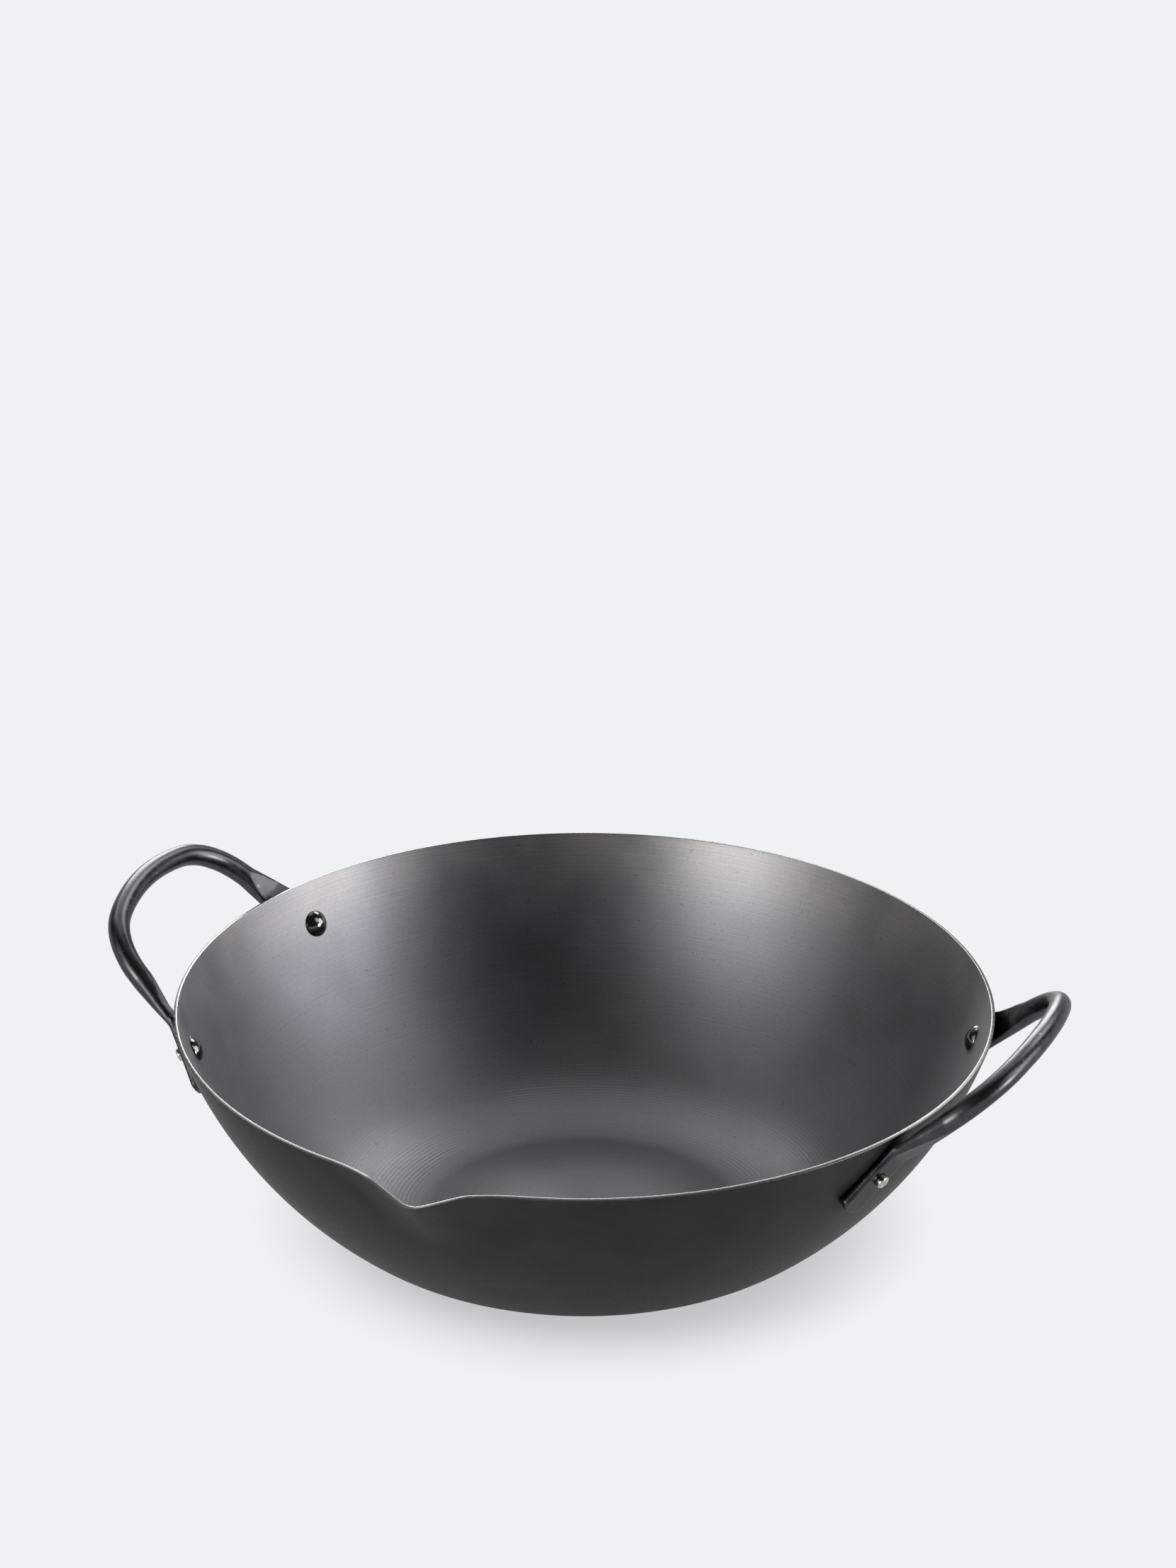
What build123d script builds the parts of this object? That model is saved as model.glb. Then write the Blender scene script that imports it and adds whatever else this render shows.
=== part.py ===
from build123d import *
from math import acos, asin, atan2, cos, hypot, pi, radians, sin, sqrt, tan
import os

# Two-handled, flat-bottomed carbon steel wok. Millimetres.
# Origin at the centre of the flat base, on the underside; +Z up, handles along X,
# pouring spout towards -Y.

# Bowl, spun from one round of sheet
rim_radius = 165.0        # inside the rim
bowl_height = 96.0        # underside of the base to the rim
sheet = 1.6               # sheet thickness
flat_radius = 70.0        # flat base, to where the corner starts
corner_radius = 60.0      # outside radius between the base and the wall
wall_radius = 180.0       # outside radius of the wall's own curve

# Pouring spout, pressed out of the rim
spout_azimuth = -91.2     # degrees, a little off the middle between the handles
spout_depth = 34.0        # how far below the rim the pressing starts
spout_half_width = 25.0   # at the rim, where the flank would meet the round wall
spout_push = 16.8         # how far the nose would stand out at the rim's level
spout_dip = 6.5           # how far the lip drops at the nose
spout_nose_radius = 7.0   # inside the nose
spout_shoulder_radius = 90.0
spout_lip_half_width = 19.5   # at the rim, where the lip's straight flank would meet it
spout_lip_radius = 18.0   # rounding of the lip's dip, seen from the front
spout_flare = 1.6         # power law of the push over the depth
spout_root_width_share = 0.5
spout_level_shares = (0.35, 0.7, 1.0)
spout_leaning_share = 1.2   # level thickness of a leaning flank over the sheet

# Handles, bent from round bar with their ends forged flat
bar_diameter = 9.0
handle_reach = 30.5       # bar centre at the loop's middle, out from the inside of the rim
handle_rise = 23.5        # bar centre at the loop's middle, above the rim
leg_splay = 14.5          # degrees, each leg from the handle's middle line
loop_corner_radius = 32.0
loop_top_radius = 108.0
lug_thickness = 3.5
lug_width = 15.9          # over the rounded long edges
lug_angle = 51.9          # degrees below level, along the wall's tangent plane
lug_tail = 18.0           # rivet to the lug's end
lug_root = 11.0           # rivet to the bend
lug_end_bulge = 2.5       # how far the curved end stands out past its corners
bend_radius = 10.0        # faces of the bar at the bend
forged_length = 25.0      # bend to where the bar is fully round
inner_taper_share = 0.55  # of the forged length that the bowl-side facet takes

# Rivets, through the wall and the lug
rivet_half_angle = 23.1   # degrees, each rivet from the handle's middle line
rivet_drop = 18.2         # along the wall, below the rim
rivet_shank_diameter = 4.8
rivet_fit = 0.05          # clearance round the shank
rivet_head_diameter = 10.9
rivet_head_height = 2.9
rivet_head_edge = 0.5     # upright edge under the dome
rivet_seat = 0.3          # how deep the head's underside is drawn before the wall shapes it
rivet_tail_diameter = 5.6
rivet_tail_height = 2.5
rivet_tail_edge = 0.8     # rounding of the tail's outer edge
rivet_dimple_diameter = 2.4
rivet_dimple_depth = 0.5

overrun = 5.0             # how far cutting and joining shapes run past what they meet
facet_margin = 0.1        # the forging's facets start this much above the round bar

bar_radius = bar_diameter / 2
shank_radius = rivet_shank_diameter / 2
hole_radius = shank_radius + rivet_fit


def wall_centre():
    """Centre (r, z) of the wall's arcs: inside the corner's circle, and through the rim."""
    corner = (flat_radius, corner_radius)
    rim = (rim_radius, bowl_height)
    reach_corner = wall_radius - corner_radius
    reach_rim = wall_radius - sheet
    gap_r, gap_z = rim[0] - corner[0], rim[1] - corner[1]
    gap = hypot(gap_r, gap_z)
    along = (reach_corner ** 2 - reach_rim ** 2 + gap ** 2) / (2 * gap)
    across = sqrt(reach_corner ** 2 - along ** 2)
    return (corner[0] + (along * gap_r - across * gap_z) / gap,
            corner[1] + (along * gap_z + across * gap_r) / gap)


WALL_R, WALL_Z = wall_centre()
joint_slope = atan2(flat_radius - WALL_R, WALL_Z - corner_radius)
rim_slope = asin((rim_radius - WALL_R) / (wall_radius - sheet))


def wall_reach(z, radius):
    """Distance from the axis of the wall's arc of this radius, at height z."""
    return WALL_R + sqrt(radius ** 2 - (z - WALL_Z) ** 2)


def arc_point(centre, radius, slope):
    return (centre[0] + radius * sin(slope), centre[1] - radius * cos(slope))


def bowl_profile_edges(inset, top):
    """One skin of the bowl below height top, inset from the outside, from the axis out."""
    corner, wall = (flat_radius, corner_radius), (WALL_R, WALL_Z)
    small, large = corner_radius - inset, wall_radius - inset
    top_slope = acos((WALL_Z - top) / large)
    points = [(0, inset), (flat_radius, inset)]
    for centre, radius, low, high in ((corner, small, 0, joint_slope),
                                      (wall, large, joint_slope, top_slope)):
        points.append(arc_point(centre, radius, (low + high) / 2))
        points.append(arc_point(centre, radius, high))
    on_plane = [Vector(r, 0, z) for r, z in points]
    edges = [Edge.make_line(on_plane[0], on_plane[1]),
             Edge.make_three_point_arc(*on_plane[1:4]),
             Edge.make_three_point_arc(*on_plane[3:6])]
    return edges, on_plane[0], on_plane[-1]


def spun_lower_bowl(top):
    """The bowl below the pressed spout: a true body of revolution."""
    outer, outer_low, outer_top = bowl_profile_edges(0, top)
    inner, inner_low, inner_top = bowl_profile_edges(sheet, top)
    closing = [Edge.make_line(outer_top, inner_top), Edge.make_line(inner_low, outer_low)]
    return revolve(Face(Wire(outer + inner + closing)), Axis.Z, 360)


def spout_corner_points(reach, nose, half_angle, nose_radius, shoulder_radius):
    """One side of a level section: nose middle, nose end, shoulder start, middle and end."""
    along = Vector(sin(half_angle), -cos(half_angle))
    outward = Vector(cos(half_angle), sin(half_angle))
    tip = Vector(0, nose)
    nose_middle = Vector(0, nose - nose_radius / sin(half_angle) + nose_radius)
    nose_end = tip + along * (nose_radius / tan(half_angle))
    start = tip + outward * shoulder_radius
    half_b = start.dot(along)
    rest = start.dot(start) - (reach + shoulder_radius) ** 2
    centre = start + along * (-half_b - sqrt(half_b ** 2 - rest))
    flank_end = centre - outward * shoulder_radius
    circle_end = centre * (reach / (reach + shoulder_radius))
    middle = centre + ((flank_end + circle_end) * 0.5 - centre).normalized() * shoulder_radius
    return nose_middle, nose_end, flank_end, middle, circle_end


def wire_from_half(half, reach, z, round_only):
    """Closes a level section from one side's points, with the nose towards the spout."""
    if round_only:
        half = [p.normalized() * reach for p in half]
    nose_middle, nose_end, flank_end, middle, circle_end = half
    _, left_nose, left_flank, left_middle, left_circle = [Vector(-p.X, p.Y) for p in half]

    def flank(start, end):
        if round_only:
            return Edge.make_three_point_arc(start, (start + end).normalized() * reach, end)
        return Edge.make_line(start, end)

    edges = [
        Edge.make_three_point_arc(left_nose, nose_middle, nose_end),
        flank(nose_end, flank_end),
        Edge.make_three_point_arc(flank_end, middle, circle_end),
        Edge.make_three_point_arc(circle_end, Vector(0, -reach), left_circle),
        Edge.make_three_point_arc(left_circle, left_middle, left_flank),
        flank(left_flank, left_nose),
    ]
    return Rot(0, 0, spout_azimuth - 90) * Pos(0, 0, z) * Wire(edges)


def spout_sections(outside):
    """Level sections of the bowl's top band, from the root of the spout to the rim."""
    radius = wall_radius if outside else wall_radius - sheet
    leaning = sheet * spout_leaning_share
    sections = []
    for share in spout_level_shares:
        z = bowl_height - spout_depth * (1 - share)
        inner_reach = wall_reach(z, wall_radius - sheet)
        width = spout_half_width * (spout_root_width_share + (1 - spout_root_width_share) * share)
        push = spout_push * share ** spout_flare
        nose = inner_reach + push
        half_angle = atan2(width, nose - sqrt(inner_reach ** 2 - width ** 2))
        nose_radius, shoulder_radius = spout_nose_radius, spout_shoulder_radius
        if outside:
            nose += leaning / sin(half_angle)
            nose_radius += leaning
            shoulder_radius -= leaning
        reach = wall_reach(z, radius)
        half = spout_corner_points(reach, nose, half_angle, nose_radius, shoulder_radius)
        if not sections:
            root = bowl_height - spout_depth
            sections.append(wire_from_half(half, wall_reach(root, radius), root, True))
        sections.append(wire_from_half(half, reach, z, False))
    return sections


def lip_cutter():
    """What is trimmed off above the spout, so that the lip dips at the nose."""
    low = bowl_height - spout_dip
    wide = spout_lip_half_width + spout_lip_radius
    high = bowl_height + spout_depth
    with BuildSketch(Plane.XZ) as outline:
        with BuildLine():
            Polyline((-wide, high), (-wide, bowl_height), (-spout_lip_half_width, bowl_height),
                     (0, low), (spout_lip_half_width, bowl_height), (wide, bowl_height),
                     (wide, high), close=True)
        make_face()
        corners = [v for v in outline.vertices() if abs(v.X) < wide]
        fillet(corners, spout_lip_radius)
    length = rim_radius + spout_push + spout_depth
    cutter = extrude(outline.sketch, length)
    return Rot(0, 0, spout_azimuth + 90) * cutter


def spout_band():
    """The bowl's top band, lofted so that the round wall runs out into the spout."""
    outer = Solid.make_loft(spout_sections(True))
    inner = Solid.make_loft(spout_sections(False))
    return outer - inner


def rivet_plane(side, leg):
    """Plane on the outside of the wall at a rivet, facing out; side and leg are +1 or -1."""
    slope = rim_slope - rivet_drop / wall_radius
    r, z = arc_point((WALL_R, WALL_Z), wall_radius, slope)
    azimuth = radians(rivet_half_angle) * leg + (0 if side > 0 else pi)
    outward = Vector(cos(azimuth), sin(azimuth), 0)
    level = Vector(-sin(azimuth), cos(azimuth), 0) * leg
    normal = outward * sin(slope) - Vector(0, 0, cos(slope))
    return Plane(origin=outward * r + Vector(0, 0, z), x_dir=level, z_dir=normal)


def make_bowl():
    root = bowl_height - spout_depth
    bowl = spun_lower_bowl(root) + spout_band() - lip_cutter()
    for side in (1, -1):
        for leg in (1, -1):
            hole = Cylinder(hole_radius, 2 * (sheet + overrun))
            bowl -= rivet_plane(side, leg) * hole
    return bowl


def lug_frame():
    """Rivet foot, and the lug's directions down its length, across it and out of the wall."""
    wall = rivet_plane(1, 1)
    down_wall = wall.x_dir.cross(wall.z_dir)
    angle = radians(lug_angle)
    down = wall.x_dir * cos(angle) + down_wall * sin(angle)
    return wall.origin, down, wall.z_dir.cross(down), wall.z_dir


def loop_frame():
    """Plane of the loop, through both bends and the loop's middle; the bend; the loop's length."""
    foot, down, across, out = lug_frame()
    bend = foot + out * (lug_thickness / 2) - down * lug_root
    middle = Vector(rim_radius + handle_reach, 0, bowl_height + handle_rise)
    origin = Vector(bend.X, 0, bend.Z)
    rise = middle - origin
    plane = Plane(origin=origin, x_dir=(0, 1, 0), z_dir=Vector(0, 1, 0).cross(rise))
    return plane, bend, rise.length


def loop_half(bend_y, loop_length):
    """Half the loop in its plane: the leg's direction and end, the corner's middle and end."""
    splay = radians(leg_splay)
    leg = Vector(-sin(splay), cos(splay))
    inward = Vector(-cos(splay), -sin(splay))
    foot = Vector(bend_y, 0)
    top_centre = Vector(0, loop_length - loop_top_radius)
    start = foot + inward * loop_corner_radius - top_centre
    half_b = start.dot(leg)
    rest = start.dot(start) - (loop_top_radius - loop_corner_radius) ** 2
    run = -half_b + sqrt(half_b ** 2 - rest)
    corner_centre = top_centre + start + leg * run
    to_top = (corner_centre - top_centre).normalized()
    corner_end = corner_centre + to_top * loop_corner_radius
    corner_middle = corner_centre + (to_top - inward).normalized() * loop_corner_radius
    return leg, foot + leg * run, corner_middle, corner_end


def round_bar():
    """The loop and the round part of both legs, swept along one bent line."""
    plane, bend, length = loop_frame()
    leg, leg_end, corner_middle, corner_end = loop_half(bend.Y, length)
    leg_start = Vector(bend.Y, 0) + leg * forged_length
    half = [leg_start, leg_end, corner_middle, corner_end]
    left = [plane.from_local_coords(p) for p in half]
    right = [plane.from_local_coords(Vector(-p.X, p.Y)) for p in half]
    top = plane.from_local_coords(Vector(0, length))
    path = Wire([
        Edge.make_line(left[0], left[1]),
        Edge.make_three_point_arc(left[1], left[2], left[3]),
        Edge.make_three_point_arc(left[3], top, right[3]),
        Edge.make_three_point_arc(right[3], right[2], right[1]),
        Edge.make_line(right[1], right[0]),
    ])
    section = Plane(origin=left[0], z_dir=left[1] - left[0]) * Circle(bar_radius)
    return sweep(section, path=path)


def forging_envelope(bend, along, wide, down, across):
    """The bar swollen sideways towards the lug, before its faces are pressed flat."""
    oval = Ellipse(lug_width / 2, bar_radius)
    at_bend = Plane(origin=bend, x_dir=wide, z_dir=along)
    at_round = Plane(origin=bend + along * forged_length, x_dir=wide, z_dir=along)
    swollen = Solid.make_loft([(at_bend * oval).wire(), (at_round * Circle(bar_radius)).wire()])
    knee = extrude(at_bend * oval, -lug_thickness)
    lug_start = Plane(origin=bend - down * lug_thickness, x_dir=across, z_dir=down)
    lug = extrude(lug_start * oval, lug_thickness + lug_root + lug_tail + overrun)
    return swollen + knee + lug


def pressed_faces(bend, along, down, out):
    """Side view of the forging, x up the lug and y out of the wall: flat lug, bend, two facets."""
    side = Plane(origin=bend, x_dir=-down, z_dir=(-down).cross(out))
    leg = Vector(-along.dot(down), along.dot(out)).normalized()
    outward = Vector(-leg.Y, leg.X)
    half = lug_thickness / 2
    clear = bar_radius + facet_margin
    end = lug_root + lug_tail + overrun
    mitre = half * leg.Y / (1 + leg.X)
    thin = leg * (forged_length * (1 - inner_taper_share)) - outward * half
    shoulder, past = leg * forged_length, leg * (forged_length + overrun)
    corners = [Vector(-end, -half), Vector(mitre, -half), thin,
               shoulder - outward * clear, past - outward * clear,
               past + outward * clear, shoulder + outward * clear,
               Vector(-mitre, half), Vector(-end, half)]
    outline = make_face(Polyline(*corners, close=True))
    knees = [v for v in outline.vertices() if v.center().length < lug_thickness]
    outline = fillet(knees, bend_radius)
    return extrude(side * outline, lug_width, both=True)


def lug_outline(foot, down, out):
    """Plan view of the lug, x up its length, with a gently curved end."""
    plan = Plane(origin=foot, x_dir=-down, z_dir=out)
    half = lug_width / 2 + facet_margin
    wide = half + overrun
    far = lug_root + forged_length + overrun
    shoulder = lug_end_bulge - lug_tail
    outline = make_face([
        ThreePointArc((shoulder, -half), (-lug_tail, 0), (shoulder, half)),
        Polyline((shoulder, half), (shoulder, wide), (far, wide), (far, -wide),
                 (shoulder, -wide), (shoulder, -half))])
    return extrude(plan * outline, bar_diameter + forged_length, both=True)


def forged_end():
    """One leg's end: the bar widened, pressed between facets, and the lug against the wall."""
    foot, down, across, out = lug_frame()
    plane, bend, length = loop_frame()
    leg = loop_half(bend.Y, length)[0]
    along = plane.from_local_coords(leg) - plane.origin
    wide = (across - along * across.dot(along)).normalized()
    end = forging_envelope(bend, along, wide, down, across)
    end = end & pressed_faces(bend, along, down, out) & lug_outline(foot, down, out)
    return end - rivet_plane(1, 1) * Cylinder(hole_radius, 2 * (lug_thickness + overrun))


def make_handle(side):
    """Loop handle: right is side +1, and left is the same handle turned round."""
    end = forged_end()
    handle = round_bar() + end + mirror(end, Plane.XZ)
    return handle if side > 0 else Rot(0, 0, 180) * handle


def rivet_profile():
    """Half section of a rivet, x from its axis and y out of the wall, with 0 on the wall's outside."""
    head_radius, tail_radius = rivet_head_diameter / 2, rivet_tail_diameter / 2
    dimple_radius = rivet_dimple_diameter / 2
    crown = -sheet - rivet_head_height
    rise = rivet_head_height - rivet_head_edge
    dome_radius = (head_radius ** 2 + rise ** 2) / (2 * rise)
    half_turn = asin(head_radius / dome_radius) / 2
    dome_middle = (dome_radius * sin(half_turn), crown + dome_radius * (1 - cos(half_turn)))
    top = lug_thickness + rivet_tail_height
    corner = tail_radius - rivet_tail_edge
    eased = rivet_tail_edge * (1 - sqrt(0.5))
    return make_face([
        ThreePointArc((0, crown), dome_middle, (head_radius, crown + rise)),
        Polyline((head_radius, crown + rise), (head_radius, rivet_seat - sheet),
                 (shank_radius, rivet_seat - sheet), (shank_radius, lug_thickness),
                 (tail_radius, lug_thickness), (tail_radius, top - rivet_tail_edge)),
        ThreePointArc((tail_radius, top - rivet_tail_edge), (tail_radius - eased, top - eased),
                      (corner, top)),
        Line((corner, top), (dimple_radius, top)),
        Line((dimple_radius, top), (0, top - rivet_dimple_depth)),
        Line((0, top - rivet_dimple_depth), (0, crown)),
    ])


def make_rivet(side, leg, bowl):
    """A rivet in its hole, with the underside of its head shaped to the wall."""
    rivet = revolve(Plane.XZ * rivet_profile(), Axis.Z, 360)
    return rivet_plane(side, leg) * rivet - bowl


os.makedirs("parts", exist_ok=True)
wok_body = make_bowl()
export_step(wok_body, "parts/wok_body.step")
for side, hand in ((1, "right"), (-1, "left")):
    export_step(make_handle(side), f"parts/{hand}_handle.step")
    for leg in (1, -1):
        end_name = "rear" if side * leg > 0 else "front"
        export_step(make_rivet(side, leg, wok_body), f"parts/{hand}_{end_name}_rivet.step")
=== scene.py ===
"""Looks of a two-handled carbon steel wok: blued bowl, forged black handles, bright rivets.

Laid out as an add-on and run as a script. All lengths are metres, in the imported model's own frame.
"""

from math import acos, asin, atan2, cos, degrees, hypot, pi, radians, sin, sqrt, tan

import bmesh
import bpy
from bpy.props import FloatProperty, FloatVectorProperty, IntProperty, PointerProperty
from mathutils import Matrix, Vector, noise


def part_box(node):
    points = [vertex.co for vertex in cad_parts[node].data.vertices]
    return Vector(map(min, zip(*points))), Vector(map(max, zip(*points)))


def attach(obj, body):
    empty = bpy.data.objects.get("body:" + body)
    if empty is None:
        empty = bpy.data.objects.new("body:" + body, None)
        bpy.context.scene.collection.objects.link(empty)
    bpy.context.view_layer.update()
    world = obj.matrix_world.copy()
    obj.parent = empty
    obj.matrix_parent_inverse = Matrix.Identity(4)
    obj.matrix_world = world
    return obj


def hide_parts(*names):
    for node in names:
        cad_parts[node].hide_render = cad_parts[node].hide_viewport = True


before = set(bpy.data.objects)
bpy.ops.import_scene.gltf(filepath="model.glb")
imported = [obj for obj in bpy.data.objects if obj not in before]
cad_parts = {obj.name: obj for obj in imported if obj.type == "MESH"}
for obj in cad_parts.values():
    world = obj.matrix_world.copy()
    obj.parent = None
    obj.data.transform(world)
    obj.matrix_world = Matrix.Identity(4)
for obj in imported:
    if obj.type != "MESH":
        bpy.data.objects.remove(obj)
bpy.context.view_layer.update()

bl_info = {
    "name": "Carbon Steel Wok",
    "version": (1, 0, 0),
    "blender": (4, 5, 0),
    "location": "3D View > Sidebar > Wok",
    "description": "Models a spun carbon steel wok with a pressed spout, forged handles and rivets",
    "category": "Object",
}

MM = 0.001
MERGE = 0.001 * MM   # points closer than this are one
BOWL_LOW, BOWL_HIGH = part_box("wok_body")
SIDES = {"right": 1, "left": -1}


def length(name, millimetres, description):
    """A size that the sidebar shows as a distance."""
    return FloatProperty(name=name, description=description, default=millimetres * MM, min=0, unit="LENGTH",
                         subtype="DISTANCE")


def turn(name, in_degrees, description):
    """An angle that the sidebar shows in degrees."""
    return FloatProperty(name=name, description=description, default=radians(in_degrees), subtype="ANGLE")


def colour(name, hex_code, description):
    """A colour swatch that starts from an sRGB hex code."""
    return FloatVectorProperty(name=name, description=description, default=linear(hex_code), size=3,
                               min=0, max=1, subtype="COLOR")


def linear(hex_code):
    """Scene-linear red, green and blue of an sRGB hex code."""
    parts = [int(hex_code[i:i + 2], 16) / 255 for i in (1, 3, 5)]
    return tuple(c / 12.92 if c <= 0.04045 else ((c + 0.055) / 1.055) ** 2.4 for c in parts)


class WokBowlSizes(bpy.types.PropertyGroup):
    """The spun bowl and its spout."""
    rim_radius: length("Rim radius", 165, "Inside radius of the rim")
    height: FloatProperty(name="Height", description="Underside of the base to the rim", default=BOWL_HIGH.z,
                          unit="LENGTH", subtype="DISTANCE")
    sheet: length("Sheet", 1.6, "Thickness of the sheet")
    flat_radius: length("Base radius", 70, "Flat base, to where its corner starts")
    corner_radius: length("Corner radius", 60, "Outside radius between the base and the wall")
    wall_radius: length("Wall radius", 180, "Outside radius of the wall's own curve")
    rim_ease: length("Rim edge", 0.25, "Rounding of the cut rim's two edges")
    # The inner share of the cut keeps bare steel's tone; the rest is darkened as painted shade
    bright_cut_share: FloatProperty(name="Bright cut", default=0.42, min=0.2, max=0.8, subtype="FACTOR",
                                   description="Share of the cut, from the inside, that is bright")
    spout_azimuth: turn("Spout azimuth", -91.2, "Direction of the spout, from the right handle")
    spout_depth: length("Spout depth", 34, "How far below the rim the pressing starts")
    spout_half_width: length("Spout half width", 25, "Half the spout's mouth at the rim")
    spout_push: length("Spout push", 16.8, "How far the nose would stand out at the rim's level")
    spout_dip: length("Spout dip", 6.5, "How far the lip drops at the nose")
    spout_nose_radius: length("Nose radius", 7, "Inside radius of the nose")
    spout_shoulder_radius: length("Shoulder radius", 90, "Rounding where the flanks meet the wall")
    spout_lip_half_width: length("Lip half width", 19.5, "Half the width of the lip's dip")
    spout_lip_radius: length("Lip radius", 18, "Rounding of the lip's dip")
    spout_flare: FloatProperty(name="Flare", description="Power law of the push over the depth", default=1.6)
    spout_root_share: FloatProperty(name="Root width", description="Width at the root over that at the rim",
                                    default=0.5, subtype="FACTOR")
    spout_start_share: FloatProperty(name="Start", default=0.25, subtype="FACTOR",
                                     description="Share of the depth where the nose takes its full form")
    leaning_share: FloatProperty(name="Leaning", default=1.2,
                                 description="Level thickness of a leaning flank over the sheet")
    steps: IntProperty(name="Steps", description="Divisions round the bowl", default=480, min=32)


class WokHandleSizes(bpy.types.PropertyGroup):
    """Finish of the forged handles."""
    grain: length("Grain", 0.45, "Cell of the skin drawn over the forging")
    edge_passes: IntProperty(name="Edge passes", description="How often the forging's edges are eased",
                             default=3, min=0)
    dent_depth: length("Dent depth", 0.07, "Hammer dents left in the bar")
    dent_size: length("Dent size", 9, "Width of a hammer dent")


class WokRivetSizes(bpy.types.PropertyGroup):
    """The rivets through wall and lug."""
    half_angle: turn("Half angle", 23.1, "Each rivet from its handle's middle line")
    drop: length("Drop", 18.2, "Along the wall, below the rim")
    lug_thickness: length("Lug", 3.5, "Thickness of the lug that the tail is set on")
    head_diameter: length("Head", 10.9, "Diameter of the domed head inside the bowl")
    head_height: length("Head height", 2.9, "Height of the dome over the wall")
    head_edge: length("Head edge", 0.5, "Upright edge under the dome")
    seat: length("Seat", 0.3, "How deep the head's underside lies in the wall")
    shank_diameter: length("Shank", 4.8, "Diameter of the shank")
    tail_diameter: length("Tail", 5.6, "Diameter of the upset tail outside")
    tail_height: length("Tail height", 2.5, "Height of the tail over the lug")
    tail_edge: length("Tail edge", 0.8, "Rounding of the tail's edge")
    dimple_diameter: length("Dimple", 2.4, "Width of the dimple in the tail")
    dimple_depth: length("Dimple depth", 0.5, "Depth of the dimple in the tail")
    steps: IntProperty(name="Steps", description="Divisions round a rivet", default=64, min=12)


class WokFinish(bpy.types.PropertyGroup):
    """Colours of the steel."""
    inside: colour("Inside", "#757577", "Blued steel inside the bowl")
    violet: colour("Violet cast", "#727379", "Broad tinted patches of the blued steel")
    straw: colour("Straw tint", "#8E8A86", "Straw-coloured heat tint below the rim")
    outside: colour("Outside", "#303030", "Blued steel outside the bowl")
    rim: colour("Rim", "#82817F", "Bare steel of the cut rim")
    # Darkens the cut's outer half as painted shade of the rounded edge
    cut_shade_share: FloatProperty(name="Dark cut", default=0.4, min=0, max=1, subtype="FACTOR",
                             description="Tone of the cut's outer half over that of bare steel")
    handle: colour("Handles", "#434445", "Black oxide on the forged handles")
    grazing_share: FloatProperty(name="Grazing shine", default=0.72, min=0, max=1, subtype="FACTOR",
                                 description="Shine of the oxide skin at grazing angles")
    rivet_head: colour("Rivet heads", "#5C5D5D", "Blackened heads inside the bowl")
    rivet_tail: colour("Rivet tails", "#BDB8AC", "Bright tails outside the lugs")
    background: colour("Background", "#F0F1F3", "Floor and backdrop")


class WokStage(bpy.types.PropertyGroup):
    """Camera and studio."""
    azimuth: turn("Azimuth", 21.4, "Camera round the wok, from its front towards the right handle")
    elevation: turn("Elevation", 24.87, "Camera's optical axis above level")
    distance: length("Distance", 2950, "Camera to its target")
    target_right: length("Target right", 1.48, "Target from the wok's axis, to the camera's right")
    target_height: length("Target height", 195.4, "Target above the floor")
    lens: FloatProperty(name="Lens", description="Focal length for a 36 mm high frame", default=169.35, min=1)
    room: FloatProperty(name="Room", default=0.05, min=0,
                        description="Brightness of the room round the lamps")


def put_together(name, bm, materials):
    """Turns a finished bmesh into a smooth piece that rides with the wok."""
    mesh = bpy.data.meshes.new(name)
    bm.to_mesh(mesh)
    bm.free()
    mesh.shade_smooth()
    for material in materials:
        mesh.materials.append(material)
    piece = bpy.data.objects.new(name, mesh)
    bpy.context.scene.collection.objects.link(piece)
    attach(piece, "root")
    return piece


# Bowl

BASE_RINGS, CORNER_STEPS, WALL_STEPS = 5, 12, 60
SPOUT_SECTOR = pi / 4   # the pressing ends well within this angle to either side
CROWDING = 0.6          # draws the bowl's divisions closer together at the spout


class WallArcs:
    """Where the bowl's two arcs lie: a corner round the base, and the wall that runs up to the rim."""

    def __init__(self, sizes):
        self.sizes = sizes
        corner_to_wall = sizes.wall_radius - sizes.corner_radius
        rim_to_wall = sizes.wall_radius - sizes.sheet
        gap_r, gap_z = sizes.rim_radius - sizes.flat_radius, sizes.height - sizes.corner_radius
        gap = hypot(gap_r, gap_z)
        along = (corner_to_wall ** 2 - rim_to_wall ** 2 + gap ** 2) / (2 * gap)
        across = sqrt(corner_to_wall ** 2 - along ** 2)
        self.r = sizes.flat_radius + (along * gap_r - across * gap_z) / gap
        self.z = sizes.corner_radius + (along * gap_z + across * gap_r) / gap
        self.joint_slope = atan2(sizes.flat_radius - self.r, self.z - sizes.corner_radius)
        self.rim_slope = asin((sizes.rim_radius - self.r) / rim_to_wall)

    def reach(self, z, inset):
        """Distance from the axis of the wall's skin at height z."""
        return self.r + sqrt((self.sizes.wall_radius - inset) ** 2 - (z - self.z) ** 2)


def draw_skin(bm, arcs, inset):
    """Draws half the section of one skin, from the axis to the rim, and returns its last point."""
    sizes = arcs.sizes
    hub = bm.verts.new((0, 0, inset))
    for i in range(BASE_RINGS):
        outer = bm.verts.new((sizes.flat_radius * (i + 1) / BASE_RINGS, 0, inset))
        bm.edges.new((hub, outer))
        hub = outer
    stretches = ((Vector((sizes.flat_radius, 0, sizes.corner_radius)), arcs.joint_slope, CORNER_STEPS),
                 (Vector((arcs.r, 0, arcs.z)), arcs.rim_slope - arcs.joint_slope, WALL_STEPS))
    for centre, angle, steps in stretches:
        made = bmesh.ops.spin(bm, geom=[hub], cent=centre, axis=(0, -1, 0), angle=angle, steps=steps)
        hub = next(item for item in made["geom_last"] if isinstance(item, bmesh.types.BMVert))
    return hub


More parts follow.
